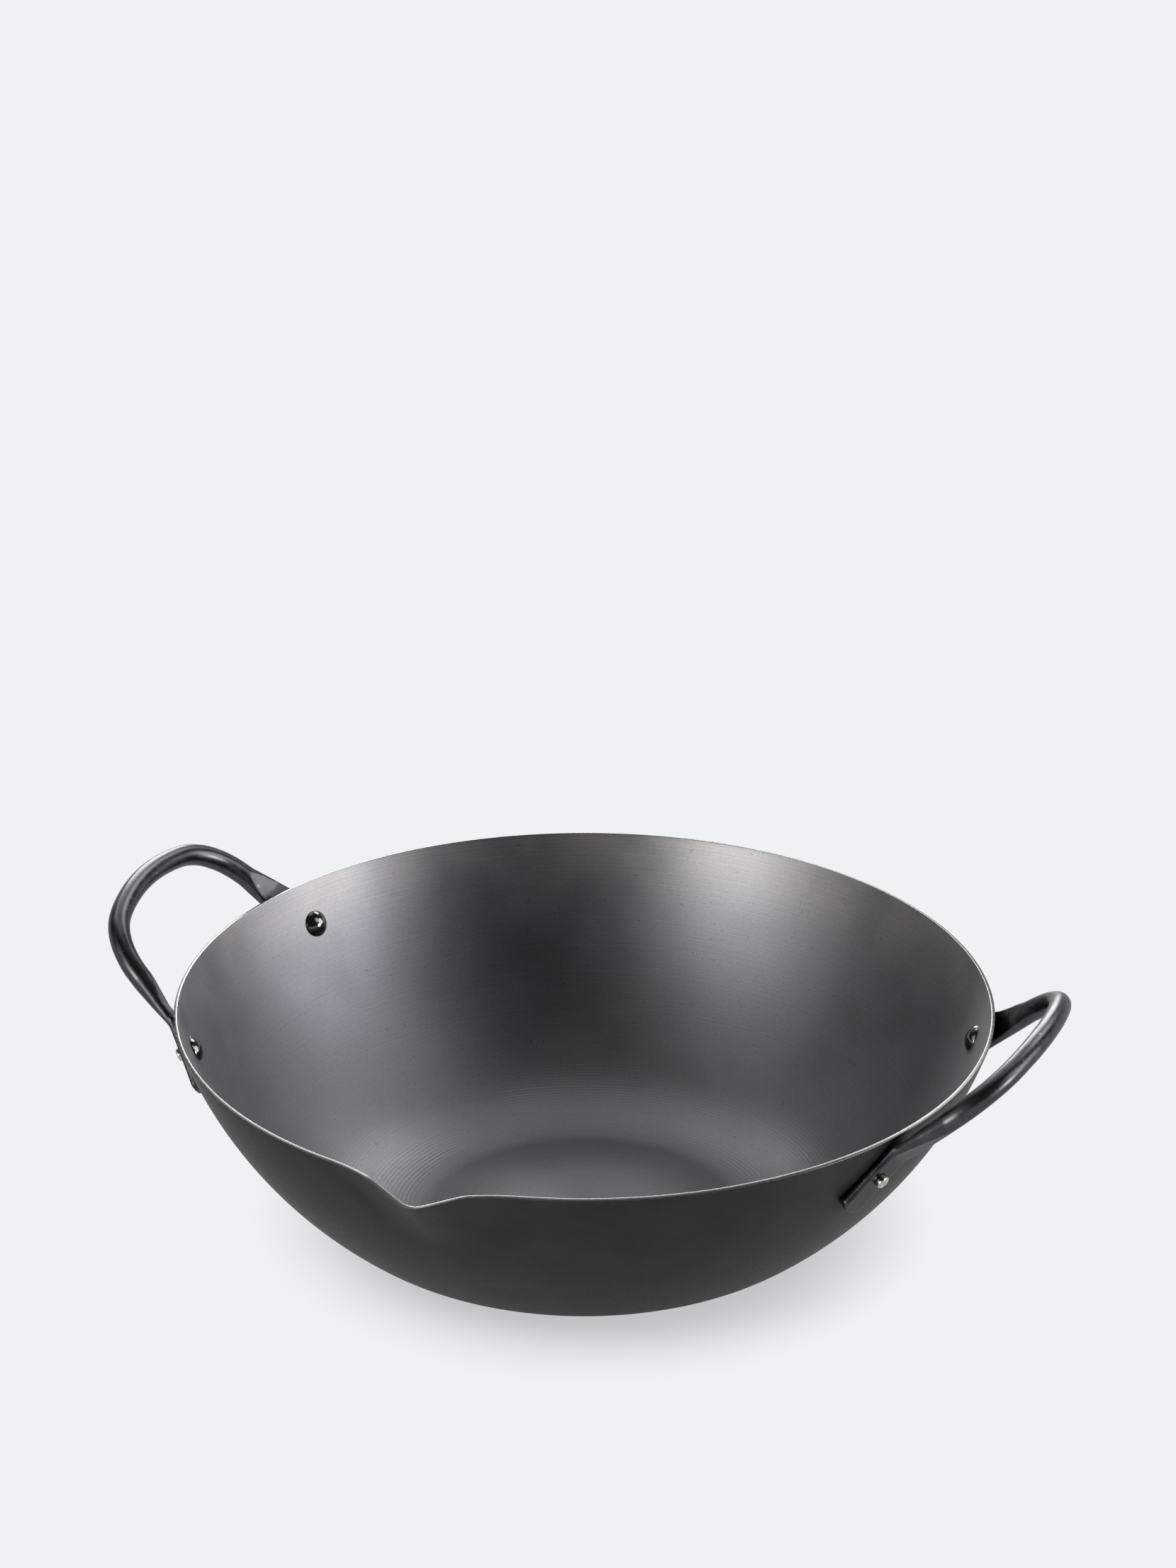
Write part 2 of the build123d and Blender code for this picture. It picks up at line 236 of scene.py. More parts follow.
def spin_bowl(arcs):
    """Spins the section of the sheet round the axis, cut square at the rim, and eases the cut's edges."""
    sizes = arcs.sizes
    bm = bmesh.new()
    inner_top = draw_skin(bm, arcs, sizes.sheet)
    outer_top = draw_skin(bm, arcs, 0)
    # The cut is split where its painted shade begins
    bright_cut_to = bm.verts.new(inner_top.co.lerp(outer_top.co, sizes.bright_cut_share))
    bm.edges.new((inner_top, bright_cut_to))
    bm.edges.new((bright_cut_to, outer_top))
    bmesh.ops.spin(bm, geom=bm.verts[:] + bm.edges[:], cent=(0, 0, 0), axis=(0, 0, 1), angle=2 * pi,
                   steps=sizes.steps, use_merge=True)
    bmesh.ops.remove_doubles(bm, verts=bm.verts, dist=sizes.sheet / 1000)
    bmesh.ops.recalc_face_normals(bm, faces=bm.faces)
    bm.normal_update()
    sharp = [edge for edge in bm.edges if edge.calc_face_angle(0) > radians(45)]
    bmesh.ops.bevel(bm, geom=sharp, offset=sizes.rim_ease, segments=3, profile=0.5, affect="EDGES",
                    material=-1)
    return bm


class Spout:
    """Level sections and lip of the pressed spout, the same as the solid's."""

    def __init__(self, arcs):
        self.arcs = arcs
        self.sizes = arcs.sizes
        self.root = self.sizes.height - self.sizes.spout_depth
        self.lip_slope = atan2(self.sizes.spout_dip, self.sizes.spout_lip_half_width)

    def lip(self, x):
        """Height of the lip at this distance to the side of the spout's middle."""
        sizes, x = self.sizes, abs(x)
        radius = sizes.spout_lip_radius
        shoulder = sizes.spout_lip_half_width + radius * tan(self.lip_slope / 2)
        if x >= shoulder:
            return sizes.height
        if x > shoulder - radius * sin(self.lip_slope):
            return sizes.height - radius + sqrt(radius ** 2 - (shoulder - x) ** 2)
        if x < radius * sin(self.lip_slope):
            low = sizes.height - sizes.spout_dip + radius / cos(self.lip_slope)
            return low - sqrt(radius ** 2 - x ** 2)
        return sizes.height - sizes.spout_dip * (1 - x / sizes.spout_lip_half_width)

    def reach(self, angle, z, outside):
        """Distance from the axis of one skin, at an angle from the spout's middle and a height."""
        sizes, inset = self.sizes, 0 if outside else self.sizes.sheet
        share = (z - self.root) / sizes.spout_depth
        plain = self.arcs.reach(z, inset)
        if share <= 0 or abs(angle) > SPOUT_SECTOR:
            return plain
        if share < sizes.spout_start_share:
            start = self.root + sizes.spout_depth * sizes.spout_start_share
            pushed = self.reach(angle, start, outside) - self.arcs.reach(start, inset)
            return plain + pushed * (share / sizes.spout_start_share) ** sizes.spout_flare
        inner = self.arcs.reach(z, sizes.sheet)
        width = sizes.spout_half_width * (sizes.spout_root_share + (1 - sizes.spout_root_share) * share)
        nose = inner + sizes.spout_push * share ** sizes.spout_flare
        half = atan2(width, nose - sqrt(inner ** 2 - width ** 2))
        tip_radius, shoulder_radius = sizes.spout_nose_radius, sizes.spout_shoulder_radius
        if outside:
            leaning = sizes.sheet * sizes.leaning_share
            nose += leaning / sin(half)
            tip_radius += leaning
            shoulder_radius -= leaning
        return self.section(abs(angle), plain, nose, half, tip_radius, shoulder_radius)

    @staticmethod
    def section(angle, plain, nose, half, tip_radius, shoulder_radius):
        """Distance to a level section: rounded nose, straight flank, rounded shoulder, round wall."""
        ray = Vector((sin(angle), cos(angle)))
        along, outward = Vector((sin(half), -cos(half))), Vector((cos(half), sin(half)))
        tip = Vector((0, nose))
        start = tip + outward * shoulder_radius
        half_b = start.dot(along)
        missing = (plain + shoulder_radius) ** 2 - start.dot(start)
        centre = start - along * (half_b + sqrt(half_b ** 2 + missing))
        nose_end = tip + along * (tip_radius / tan(half))
        flank_end = centre - outward * shoulder_radius
        if angle > atan2(centre.x, centre.y):
            return plain
        if angle > atan2(flank_end.x, flank_end.y):
            middle = ray.dot(centre)
            return middle - sqrt(max(middle ** 2 - centre.dot(centre) + shoulder_radius ** 2, 0))
        if angle > atan2(nose_end.x, nose_end.y):
            return tip.dot(outward) / ray.dot(outward)
        round_centre = Vector((0, nose - tip_radius / sin(half)))
        middle = ray.dot(round_centre)
        return middle + sqrt(middle ** 2 - round_centre.dot(round_centre) + tip_radius ** 2)

    def press(self, vertex):
        """Moves one vertex of the round bowl to its place on the pressed one."""
        angle = atan2(vertex.co.y, vertex.co.x) - self.sizes.spout_azimuth
        angle = (angle + pi) % (2 * pi) - pi
        angle -= CROWDING * sin(angle)
        flat_reach, z = vertex.co.xy.length, vertex.co.z
        if z > self.root and abs(angle) < SPOUT_SECTOR:
            inner, outer = self.arcs.reach(z, self.sizes.sheet), self.arcs.reach(z, 0)
            depth = (flat_reach - inner) / (outer - inner)
            level = z
            # The lip's height depends on the reach and the reach on the height: a few rounds find both
            for _ in range(4):
                lip = self.lip(flat_reach * sin(angle))
                level = self.root + (z - self.root) * (lip - self.root) / self.sizes.spout_depth
                inside, outside = (self.reach(angle, level, skin) for skin in (False, True))
                flat_reach = inside + (outside - inside) * depth
            z = level
        turned = angle + self.sizes.spout_azimuth
        vertex.co = (flat_reach * cos(turned), flat_reach * sin(turned), z)


INSIDE, OUTSIDE, BRIGHT_CUT, DARK_CUT = range(4)


def sort_skins(bm, arcs):
    """Gives each face of the round bowl its finish: inside, outside, or one of the cut rim's two halves."""
    sizes = arcs.sizes
    up_wall = Vector((cos(arcs.rim_slope), sin(arcs.rim_slope)))
    bright_reach = sizes.rim_radius + sizes.sheet * sizes.bright_cut_share * sin(arcs.rim_slope)
    for face in bm.faces:
        middle = face.calc_center_median()
        reach = middle.xy.length
        level_normal = face.normal.xy.dot(middle.xy) / reach
        if middle.z > sizes.height - sizes.sheet and Vector((level_normal, face.normal.z)).dot(up_wall) > 0.2:
            # The outer half of the cut takes the darker steel, painted shade of the rounded edge
            face.material_index = BRIGHT_CUT if reach < bright_reach else DARK_CUT
        else:
            face.material_index = OUTSIDE if face.normal.z < 0 else INSIDE


class WOK_OT_bowl(bpy.types.Operator):
    """Spin the bowl from sheet, press its spout and blue it"""
    bl_idname = "wok.bowl"
    bl_label = "Bowl"

    def execute(self, context):
        sizes, finish = context.scene.wok_bowl, context.scene.wok_finish
        arcs = WallArcs(sizes)
        bm = spin_bowl(arcs)
        sort_skins(bm, arcs)
        spout = Spout(arcs)
        for vertex in bm.verts:
            spout.press(vertex)
        # The cut's outer half takes the same steel darkened, as painted shade of the rounded edge
        materials = [blued_inside(finish), blued_outside(finish),
                     cut_steel(finish, "bare_cut_steel", 1),
                     cut_steel(finish, "cut_steel_painted_shade", finish.cut_shade_share)]
        bowl = put_together("bowl", bm, materials)
        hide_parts("wok_body")
        return {"FINISHED"}


# Handles

def forged_skin(node, sizes):
    """A copy of a handle's solid, drawn over with an even skin whose edges are eased as on a forging."""
    bm = bmesh.new()
    bm.from_mesh(node.data)
    bmesh.ops.remove_doubles(bm, verts=bm.verts, dist=MERGE)
    mesh = bpy.data.meshes.new(node.name + "_skin")
    bm.to_mesh(mesh)
    bm.free()
    piece = bpy.data.objects.new(node.name + "_forging", mesh)
    bpy.context.scene.collection.objects.link(piece)
    remesh = piece.modifiers.new("skin", "REMESH")
    remesh.mode = "VOXEL"
    remesh.voxel_size = sizes.grain
    bpy.context.view_layer.update()
    evaluated = piece.evaluated_get(bpy.context.evaluated_depsgraph_get())
    bm = bmesh.new()
    bm.from_mesh(evaluated.to_mesh())
    evaluated.to_mesh_clear()
    bpy.data.objects.remove(piece)
    bpy.data.meshes.remove(mesh)
    for _ in range(sizes.edge_passes):
        bmesh.ops.smooth_vert(bm, verts=bm.verts, factor=0.5, use_axis_x=True, use_axis_y=True,
                              use_axis_z=True)
    return bm


def hammer(bm, sizes):
    """Leaves shallow dents in a forging."""
    bm.normal_update()
    for vertex in bm.verts:
        vertex.co += vertex.normal * noise.noise(vertex.co / sizes.dent_size) * sizes.dent_depth


class WOK_OT_handles(bpy.types.Operator):
    """Forge both handles over their solids and blacken them"""
    bl_idname = "wok.handles"
    bl_label = "Handles"

    def execute(self, context):
        sizes, finish = context.scene.wok_handles, context.scene.wok_finish
        material = black_oxide(finish)
        for side in SIDES:
            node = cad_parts[f"{side}_handle"]
            bm = forged_skin(node, sizes)
            hammer(bm, sizes)
            piece = put_together(f"{side}_loop_handle", bm, [material])
            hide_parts(node.name)
        return {"FINISHED"}


# Rivets

def rivet_section(bm, sizes, sheet):
    """Draws half the section of a rivet, from the crown of its head to the dimple in its tail."""
    head, tail = sizes.head_diameter / 2, sizes.tail_diameter / 2
    shank, dimple = sizes.shank_diameter / 2, sizes.dimple_diameter / 2
    crown, under = -sheet - sizes.head_height, sizes.seat - sheet
    rise = sizes.head_height - sizes.head_edge
    dome = (head ** 2 + rise ** 2) / (2 * rise)
    top = sizes.lug_thickness + sizes.tail_height
    last = bm.verts.new((0, 0, crown))

    def arc(last, centre, angle, steps):
        made = bmesh.ops.spin(bm, geom=[last], cent=centre, axis=(0, -1, 0), angle=angle, steps=steps)
        return next(item for item in made["geom_last"] if isinstance(item, bmesh.types.BMVert))

    def line(last, r, z):
        point = bm.verts.new((r, 0, z))
        bm.edges.new((last, point))
        return point

    last = arc(last, (0, 0, crown + dome), asin(head / dome), 14)
    last = line(last, head, under)
    last = line(last, shank, under)
    last = line(last, shank, sizes.lug_thickness)
    last = line(last, tail, sizes.lug_thickness)
    last = line(last, tail, top - sizes.tail_edge)
    last = arc(last, (tail - sizes.tail_edge, 0, top - sizes.tail_edge), pi / 2, 6)
    last = line(last, dimple, top)
    line(last, 0, top - sizes.dimple_depth)


def rivet_place(side, leg, sizes, arcs):
    """Turns a rivet's own axes to its place on the wall: across, up the wall and out of it."""
    slope = arcs.rim_slope - sizes.drop / arcs.sizes.wall_radius
    azimuth = sizes.half_angle * leg + (0 if side > 0 else pi)
    outward = Vector((cos(azimuth), sin(azimuth), 0))
    normal = outward * sin(slope) - Vector((0, 0, cos(slope)))
    level = Vector((-sin(azimuth), cos(azimuth), 0))
    foot = outward * (arcs.r + arcs.sizes.wall_radius * sin(slope))
    foot.z = arcs.z - arcs.sizes.wall_radius * cos(slope)
    turned = Matrix((level, normal.cross(level), normal)).transposed()
    return Matrix.Translation(foot) @ turned.to_4x4()


def make_rivet(sizes, sheet):
    """One rivet along its own axis, with the edges of its head and tail eased."""
    bm = bmesh.new()
    rivet_section(bm, sizes, sheet)
    bmesh.ops.spin(bm, geom=bm.verts[:] + bm.edges[:], cent=(0, 0, 0), axis=(0, 0, 1), angle=2 * pi,
                   steps=sizes.steps, use_merge=True)
    bmesh.ops.remove_doubles(bm, verts=bm.verts, dist=MERGE)
    bmesh.ops.recalc_face_normals(bm, faces=bm.faces)
    for face in bm.faces:
        face.material_index = int(face.calc_center_median().z > 0)
    sharp = [edge for edge in bm.edges if edge.calc_face_angle(0) > radians(30)]
    bmesh.ops.bevel(bm, geom=sharp, offset=sizes.seat / 2, segments=2, profile=0.5, affect="EDGES",
                    material=-1)
    return bm


class WOK_OT_rivets(bpy.types.Operator):
    """Set the bright rivets through wall and lug"""
    bl_idname = "wok.rivets"
    bl_label = "Rivets"

    def execute(self, context):
        sizes, finish = context.scene.wok_rivets, context.scene.wok_finish
        arcs = WallArcs(context.scene.wok_bowl)
        materials = [blackened_rivet(finish), bright_rivet(finish)]
        for side_name, side in SIDES.items():
            for leg in (1, -1):
                end = "rear" if side * leg > 0 else "front"
                bm = make_rivet(sizes, arcs.sizes.sheet)
                bmesh.ops.transform(bm, matrix=rivet_place(side, leg, sizes, arcs), verts=bm.verts)
                piece = put_together(f"{side_name}_{end}_rivet_set", bm, materials)
                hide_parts(f"{side_name}_{end}_rivet")
        return {"FINISHED"}


# Finishes

LUG_AXIS = (-0.563, 0.433, -0.704)   # along a lug, with x and y taken without sign
SMOOTH = {"interpolation_type": "SMOOTHSTEP"}
COLOURS = {"data_type": "RGBA"}
TIMES = {"operation": "MULTIPLY"}
TIMES_PLUS = {"operation": "MULTIPLY_ADD"}
SCALED = {"operation": "SCALE"}
DOT = {"operation": "DOT_PRODUCT"}
LENGTH = {"operation": "LENGTH"}
IN_A_LINE = {"noise_dimensions": "1D"}
LEVEL = (1, 1, 0)   # times a place, its level part


def add(tree, kind, settings=None, **inputs):
    """Adds a node: its settings, then each input by name or number, as a value, a socket or a node."""
    node = tree.nodes.new("ShaderNode" + kind)
    for name, value in (settings or {}).items():
        setattr(node, name, value)
    for name, value in inputs.items():
        socket = node.inputs[int(name[1:])] if name[1:].isdigit() else node.inputs[name.replace("_", " ")]
        if isinstance(value, bpy.types.Node):
            value = next(output for output in value.outputs if output.enabled)
        if isinstance(value, bpy.types.NodeSocket):
            tree.links.new(value, socket)
        else:
            socket.default_value = value
    return node


def new_material(name):
    """An empty material: its node tree and Object coordinates."""
    material = bpy.data.materials.new(name)
    material.use_nodes = True
    tree = material.node_tree
    tree.nodes.clear()
    return material, tree, add(tree, "TexCoord").outputs["Object"]


def shade(swatch, share):
    """A swatch made darker or lighter, as a node takes it."""
    return (*(c * share for c in swatch), 1)


def grey(level):
    """A plain grey, as a node takes it."""
    return (level, level, level, 1)


def round_the_axis(tree, place):
    """Distance from the axis, height, and the place along the wall, which are the same all round."""
    level = add(tree, "VectorMath", TIMES, _0=place, _1=LEVEL)
    from_axis = add(tree, "VectorMath", LENGTH, _0=level)
    height = add(tree, "SeparateXYZ", Vector=place).outputs["Z"]
    return from_axis, height, add(tree, "Math", _0=from_axis, _1=height)


def blued_inside(finish):
    """Blued carbon steel, spun and brushed in rings, then coloured by heat."""
    # To the eye: satin, with soft streaks that run down the wall across fine rings, ripples round the base's
    # corner, a faint straw tint at the rim, broad cool patches and a few specks
    material, tree, place = new_material("blued_carbon_steel_spun")
    from_axis, height, along = round_the_axis(tree, place)
    # Brushed lines about 0.3 mm apart, drawn at 0.9 mm to show, and grit marks of 0.1 mm, drawn at 0.5 mm
    lines = add(tree, "TexNoise", IN_A_LINE, W=along, Scale=1 / (0.45 * MM), Detail=0.0)
    grain = add(tree, "TexNoise", Vector=place, Scale=1 / (0.5 * MM), Detail=2.0)
    # The roller's feed leaves ripples 2 mm apart in the corner round the base, which drift a little
    drift = add(tree, "TexNoise", Vector=place, Scale=1 / (40 * MM), Detail=0.0)
    drift = add(tree, "Math", TIMES, _0=drift, _1=6.0)
    turns = add(tree, "Math", TIMES_PLUS, _0=along, _1=2 * pi / (2.0 * MM), _2=drift)
    ripples = add(tree, "Math", {"operation": "SINE"}, _0=turns)
    rise = add(tree, "MapRange", SMOOTH, Value=from_axis, From_Min=66 * MM, From_Max=76 * MM)
    fall = add(tree, "MapRange", SMOOTH, Value=from_axis, From_Min=114 * MM, From_Max=88 * MM)
    corner = add(tree, "Math", TIMES, _0=rise, _1=fall)
    ripples = add(tree, "Math", TIMES, _0=ripples, _1=corner)
    ridges = add(tree, "Math", TIMES_PLUS, _0=ripples, _1=2.2, _2=lines)
    ridges = add(tree, "Math", TIMES_PLUS, _0=grain, _1=0.8, _2=ridges)
    bump = add(tree, "Bump", Height=ridges, Distance=0.008 * MM)
    # The heat coloured one side of the wall more than the other, and the rim more than the base
    cast = add(tree, "TexNoise", Vector=place, Scale=1 / (120 * MM), Detail=1.0)
    side = add(tree, "SeparateXYZ", Vector=place).outputs["X"]
    side = add(tree, "Math", TIMES_PLUS, _0=cast, _1=-120 * MM, _2=side)
    cool = add(tree, "MapRange", SMOOTH, Value=side, From_Min=-100 * MM, From_Max=-190 * MM)
    base = add(tree, "Mix", COLOURS, _0=cool, _6=shade(finish.inside, 1), _7=shade(finish.violet, 1))
    cloud = add(tree, "TexNoise", Vector=place, Scale=1 / (26 * MM), Detail=4.0)
    near_rim = add(tree, "MapRange", SMOOTH, Value=height, From_Min=66 * MM, From_Max=94 * MM, To_Max=0.55)
    patchy = add(tree, "MapRange", SMOOTH, Value=cloud, From_Min=0.3, From_Max=0.65, To_Min=0.3)
    straw = add(tree, "Math", TIMES, _0=near_rim, _1=patchy)
    base = add(tree, "Mix", COLOURS, _0=straw, _6=base, _7=shade(finish.straw, 1))
    # The base is darker towards its edge than in its middle, painted shade standing in for a dark reflection
    # there, and the rolled corner round it is lighter, a painted reflection
    tone = add(tree, "MapRange", SMOOTH, Value=cloud, From_Min=0.25, From_Max=0.75, To_Min=0.96, To_Max=1.04)
    painted_dark_reflection = add(tree, "MapRange", SMOOTH, Value=from_axis, From_Min=26 * MM, From_Max=60 * MM, To_Max=0.36)
    clear = add(tree, "MapRange", SMOOTH, Value=from_axis, From_Min=70 * MM, From_Max=62 * MM)
    painted_dark_reflection = add(tree, "Math", TIMES, _0=painted_dark_reflection, _1=clear)
    tone = add(tree, "Math", {"operation": "SUBTRACT"}, _0=tone, _1=painted_dark_reflection)
    # Painted reflection: the corner round the base is lightened
    tone = add(tree, "Math", TIMES_PLUS, _0=corner, _1=0.13, _2=tone)
    # Lines, grit marks and a few pits break up the tone
    pits = add(tree, "TexNoise", Vector=place, Scale=1 / (1.2 * MM), Detail=0.0)
    for pattern, low, high, darkest, lightest in (
            (lines, 0.25, 0.75, 0.91, 1.09), (grain, 0.3, 0.7, 0.92, 1.08), (pits, 0.15, 0.22, 0.7, 1.0)):
        marks = add(tree, "MapRange", SMOOTH, Value=pattern, From_Min=low, From_Max=high,
                    To_Min=darkest, To_Max=lightest)
        tone = add(tree, "Math", TIMES, _0=tone, _1=marks)
    base = add(tree, "VectorMath", SCALED, _0=base, Scale=tone)
    roughness = add(tree, "MapRange", SMOOTH, Value=cloud, From_Min=0.2, From_Max=0.8,
                    To_Min=0.46, To_Max=0.54)
    # Anisotropic along the radius, because rings spread a highlight across themselves
    across = add(tree, "VectorMath", TIMES, _0=place, _1=LEVEL)
    shader = add(tree, "BsdfPrincipled", Metallic=1.0, Base_Color=base, Roughness=roughness, Normal=bump,
                 Tangent=across, Anisotropic=0.5)
    add(tree, "OutputMaterial", Surface=shader)
    return material


def blued_outside(finish):
    """Blued carbon steel outside, as the spinning block leaves it."""
    # To the eye: dull and near black, even, with a fine grain and the faintest rings
    material, tree, place = new_material("blued_carbon_steel_dull")
    along = round_the_axis(tree, place)[2]
    # Tool rings about 1.2 mm apart, and the mill's grain of 0.2 mm, drawn at 0.7 mm to show
    lines = add(tree, "TexNoise", IN_A_LINE, W=along, Scale=1 / (0.6 * MM), Detail=0.0)
    grain = add(tree, "TexNoise", Vector=place, Scale=1 / (0.7 * MM), Detail=2.0)
    cloud = add(tree, "TexNoise", Vector=place, Scale=1 / (18 * MM), Detail=4.0)
    clouded = add(tree, "MapRange", SMOOTH, Value=cloud, From_Min=0.25, From_Max=0.75)
    base = add(tree, "Mix", COLOURS, _0=clouded, _6=shade(finish.outside, 1), _7=shade(finish.outside, 1.2))
    roughness = add(tree, "MapRange", SMOOTH, Value=grain, From_Min=0.25, From_Max=0.75,
                    To_Min=0.42, To_Max=0.54)
    texture = add(tree, "Math", TIMES_PLUS, _0=grain, _1=0.6, _2=lines)
    bump = add(tree, "Bump", Height=texture, Distance=0.012 * MM)
    across = add(tree, "VectorMath", TIMES, _0=place, _1=LEVEL)
    # The oxide skin takes away part of the metal's shine at grazing angles
    shader = add(tree, "BsdfPrincipled", Metallic=1.0, Base_Color=base, Roughness=roughness, Normal=bump,
                 Tangent=across, Anisotropic=0.5, Specular_Tint=grey(finish.grazing_share))
    add(tree, "OutputMaterial", Surface=shader)
    return material


def cut_steel(finish, name, share):
    """The sheet's cut edge in bare steel, with its outer half darkened as painted shade of the rounded edge.
    """
    # To the eye: a thin bright line round the mouth, soft in its shine, with a greyer line outside it
    material, tree, place = new_material(name)
    # A file's strokes, 2.5 mm long
    file_marks = add(tree, "TexNoise", Vector=place, Scale=1 / (2.5 * MM), Detail=3.0)
    marked = add(tree, "MapRange", SMOOTH, Value=file_marks, From_Min=0.3, From_Max=0.7)
    base = add(tree, "Mix", COLOURS, _0=marked, _6=shade(finish.rim, share * 0.85),
               _7=shade(finish.rim, share))
    roughness = add(tree, "MapRange", SMOOTH, Value=file_marks, From_Min=0.3, From_Max=0.7,
                    To_Min=0.24, To_Max=0.32)
    shader = add(tree, "BsdfPrincipled", Metallic=1.0, Base_Color=base, Roughness=roughness)
    add(tree, "OutputMaterial", Surface=shader)
    return material


def black_oxide(finish):
    """Hot-forged steel with a black oxide skin, rubbed by hands and by the bench."""
    # To the eye: satin black, finely speckled, with soft wide highlights and paler edges
    material, tree, place = new_material("black_oxide_forged_steel")
    # Scale pits of the forging, 5 mm across, and the oxide's grain of 0.2 mm, drawn at 0.55 mm to show
    mottle = add(tree, "TexNoise", Vector=place, Scale=1 / (5 * MM), Detail=4.0)
    grain = add(tree, "TexNoise", Vector=place, Scale=1 / (0.55 * MM), Detail=2.0)
    fleck = add(tree, "TexNoise", Vector=place, Scale=1 / (0.8 * MM), Detail=1.0)
    mottled = add(tree, "MapRange", SMOOTH, Value=mottle, From_Min=0.3, From_Max=0.7)
    base = add(tree, "Mix", COLOURS, _0=mottled, _6=shade(finish.handle, 0.9), _7=shade(finish.handle, 1.2))
    # The lugs were dressed lengthwise, in scratches half a millimetre apart. All four are mirror images, so
    # one direction serves for all
    mirrored = add(tree, "VectorMath", {"operation": "ABSOLUTE"}, _0=place)
    lengthwise = add(tree, "VectorMath", DOT, _0=mirrored, _1=LUG_AXIS)
    drawn_out = add(tree, "VectorMath", SCALED, _0=LUG_AXIS, Scale=lengthwise)
    drawn_out = add(tree, "VectorMath", SCALED, _0=drawn_out, Scale=-0.95)
    drawn_out = add(tree, "VectorMath", _0=mirrored, _1=drawn_out)
    brushed = add(tree, "TexNoise", Vector=drawn_out, Scale=1 / (0.5 * MM), Detail=2.0)
    brushed = add(tree, "MapRange", SMOOTH, Value=brushed, From_Min=0.3, From_Max=0.7, To_Min=0.5, To_Max=0.8)
    height = add(tree, "SeparateXYZ", Vector=place).outputs["Z"]
    lug = add(tree, "MapRange", SMOOTH, Value=height, From_Min=92 * MM, From_Max=86 * MM)
    brushed = add(tree, "Mix", _0=lug, _2=1.0, _3=brushed)
    base = add(tree, "VectorMath", SCALED, _0=base, Scale=brushed)
    # Edges are rubbed bare in places
    edges = add(tree, "NewGeometry").outputs["Pointiness"]
    worn = add(tree, "MapRange", SMOOTH, Value=edges, From_Min=0.52, From_Max=0.58, To_Max=0.8)
    scratched = add(tree, "MapRange", SMOOTH, Value=grain, From_Min=0.35, From_Max=0.6)
    worn = add(tree, "Math", TIMES, _0=worn, _1=scratched)
    base = add(tree, "Mix", COLOURS, _0=worn, _6=base, _7=shade(finish.rim, 1))
    flecked = add(tree, "MapRange", SMOOTH, Value=fleck, From_Min=0.74, From_Max=0.8)
    base = add(tree, "Mix", COLOURS, _0=flecked, _6=base, _7=shade(finish.handle, 2.2))
    roughness = add(tree, "MapRange", SMOOTH, Value=mottle, From_Min=0.25, From_Max=0.75,
                    To_Min=0.28, To_Max=0.36)
    texture = add(tree, "Math", TIMES_PLUS, _0=grain, _1=0.3, _2=mottle)
    bump = add(tree, "Bump", Height=texture, Distance=0.035 * MM)
    shader = add(tree, "BsdfPrincipled", Metallic=1.0, Base_Color=base, Roughness=roughness, Normal=bump,
                 Specular_Tint=grey(finish.grazing_share))
    add(tree, "OutputMaterial", Surface=shader)
    return material


def blackened_rivet(finish):
    """Blackened steel head, polished by the die that upset it."""
    # To the eye: glossy and dark like wet stone, with faint marks that break up a small sharp highlight
    material, tree, place = new_material("blackened_rivet_steel")
    # The die's marks, 1.5 mm across
    marks = add(tree, "TexNoise", Vector=place, Scale=1 / (1.5 * MM), Detail=3.0)
    marked = add(tree, "MapRange", SMOOTH, Value=marks, From_Min=0.3, From_Max=0.7)
    base = add(tree, "Mix", COLOURS, _0=marked, _6=shade(finish.rivet_head, 1),
               _7=shade(finish.rivet_head, 1.4))
    roughness = add(tree, "MapRange", SMOOTH, Value=marks, From_Min=0.3, From_Max=0.7, To_Min=0.1, To_Max=0.2)
    bump = add(tree, "Bump", Height=marks, Distance=0.01 * MM)
    shader = add(tree, "BsdfPrincipled", Metallic=1.0, Base_Color=base, Roughness=roughness, Normal=bump)
    add(tree, "OutputMaterial", Surface=shader)
    return material


def bright_rivet(finish):
    """Bright steel tail, upset cold by a few blows."""
    # To the eye: shiny and a little warm, slightly dented, dark in its dimple
    material, tree, place = new_material("bright_upset_rivet_steel")
    # The hammer's marks, 0.9 mm across
    marks = add(tree, "TexNoise", Vector=place, Scale=1 / (0.9 * MM), Detail=3.0)
    marked = add(tree, "MapRange", SMOOTH, Value=marks, From_Min=0.3, From_Max=0.7)
    base = add(tree, "Mix", COLOURS, _0=marked, _6=shade(finish.rivet_tail, 0.6),
               _7=shade(finish.rivet_tail, 1))
    roughness = add(tree, "MapRange", SMOOTH, Value=marks, From_Min=0.3, From_Max=0.7,
                    To_Min=0.16, To_Max=0.32)
    bump = add(tree, "Bump", Height=marks, Distance=0.03 * MM)
    shader = add(tree, "BsdfPrincipled", Metallic=1.0, Base_Color=base, Roughness=roughness, Normal=bump)
    add(tree, "OutputMaterial", Surface=shader)
    return material


# Stage

def pale_floor(finish):
    """Sheet of matt pale paper."""
    # To the eye: even in tone like the backdrop, with a soft shadow close round the wok
    material, tree, place = new_material("pale_studio_floor")
    # The floor is all matt under the base, where the shadow is deepest, and shows its own even colour past
    # 150 mm, where the shadow has faded out
    from_axis = add(tree, "VectorMath", LENGTH, _0=place)
    near = add(tree, "MapRange", SMOOTH, Value=from_axis, From_Min=62 * MM, From_Max=86 * MM, To_Max=0.6)
    share = add(tree, "MapRange", SMOOTH, Value=from_axis, From_Min=86 * MM, From_Max=150 * MM, To_Max=0.4)
    share = add(tree, "Math", _0=near, _1=share)
    matt = add(tree, "BsdfDiffuse", Color=shade(finish.background, 1))
    even = add(tree, "Emission", Color=shade(finish.background, 1), Strength=1.0)
    mix = add(tree, "MixShader", _0=share, _1=matt, _2=even)
    add(tree, "OutputMaterial", Surface=mix)
    return material


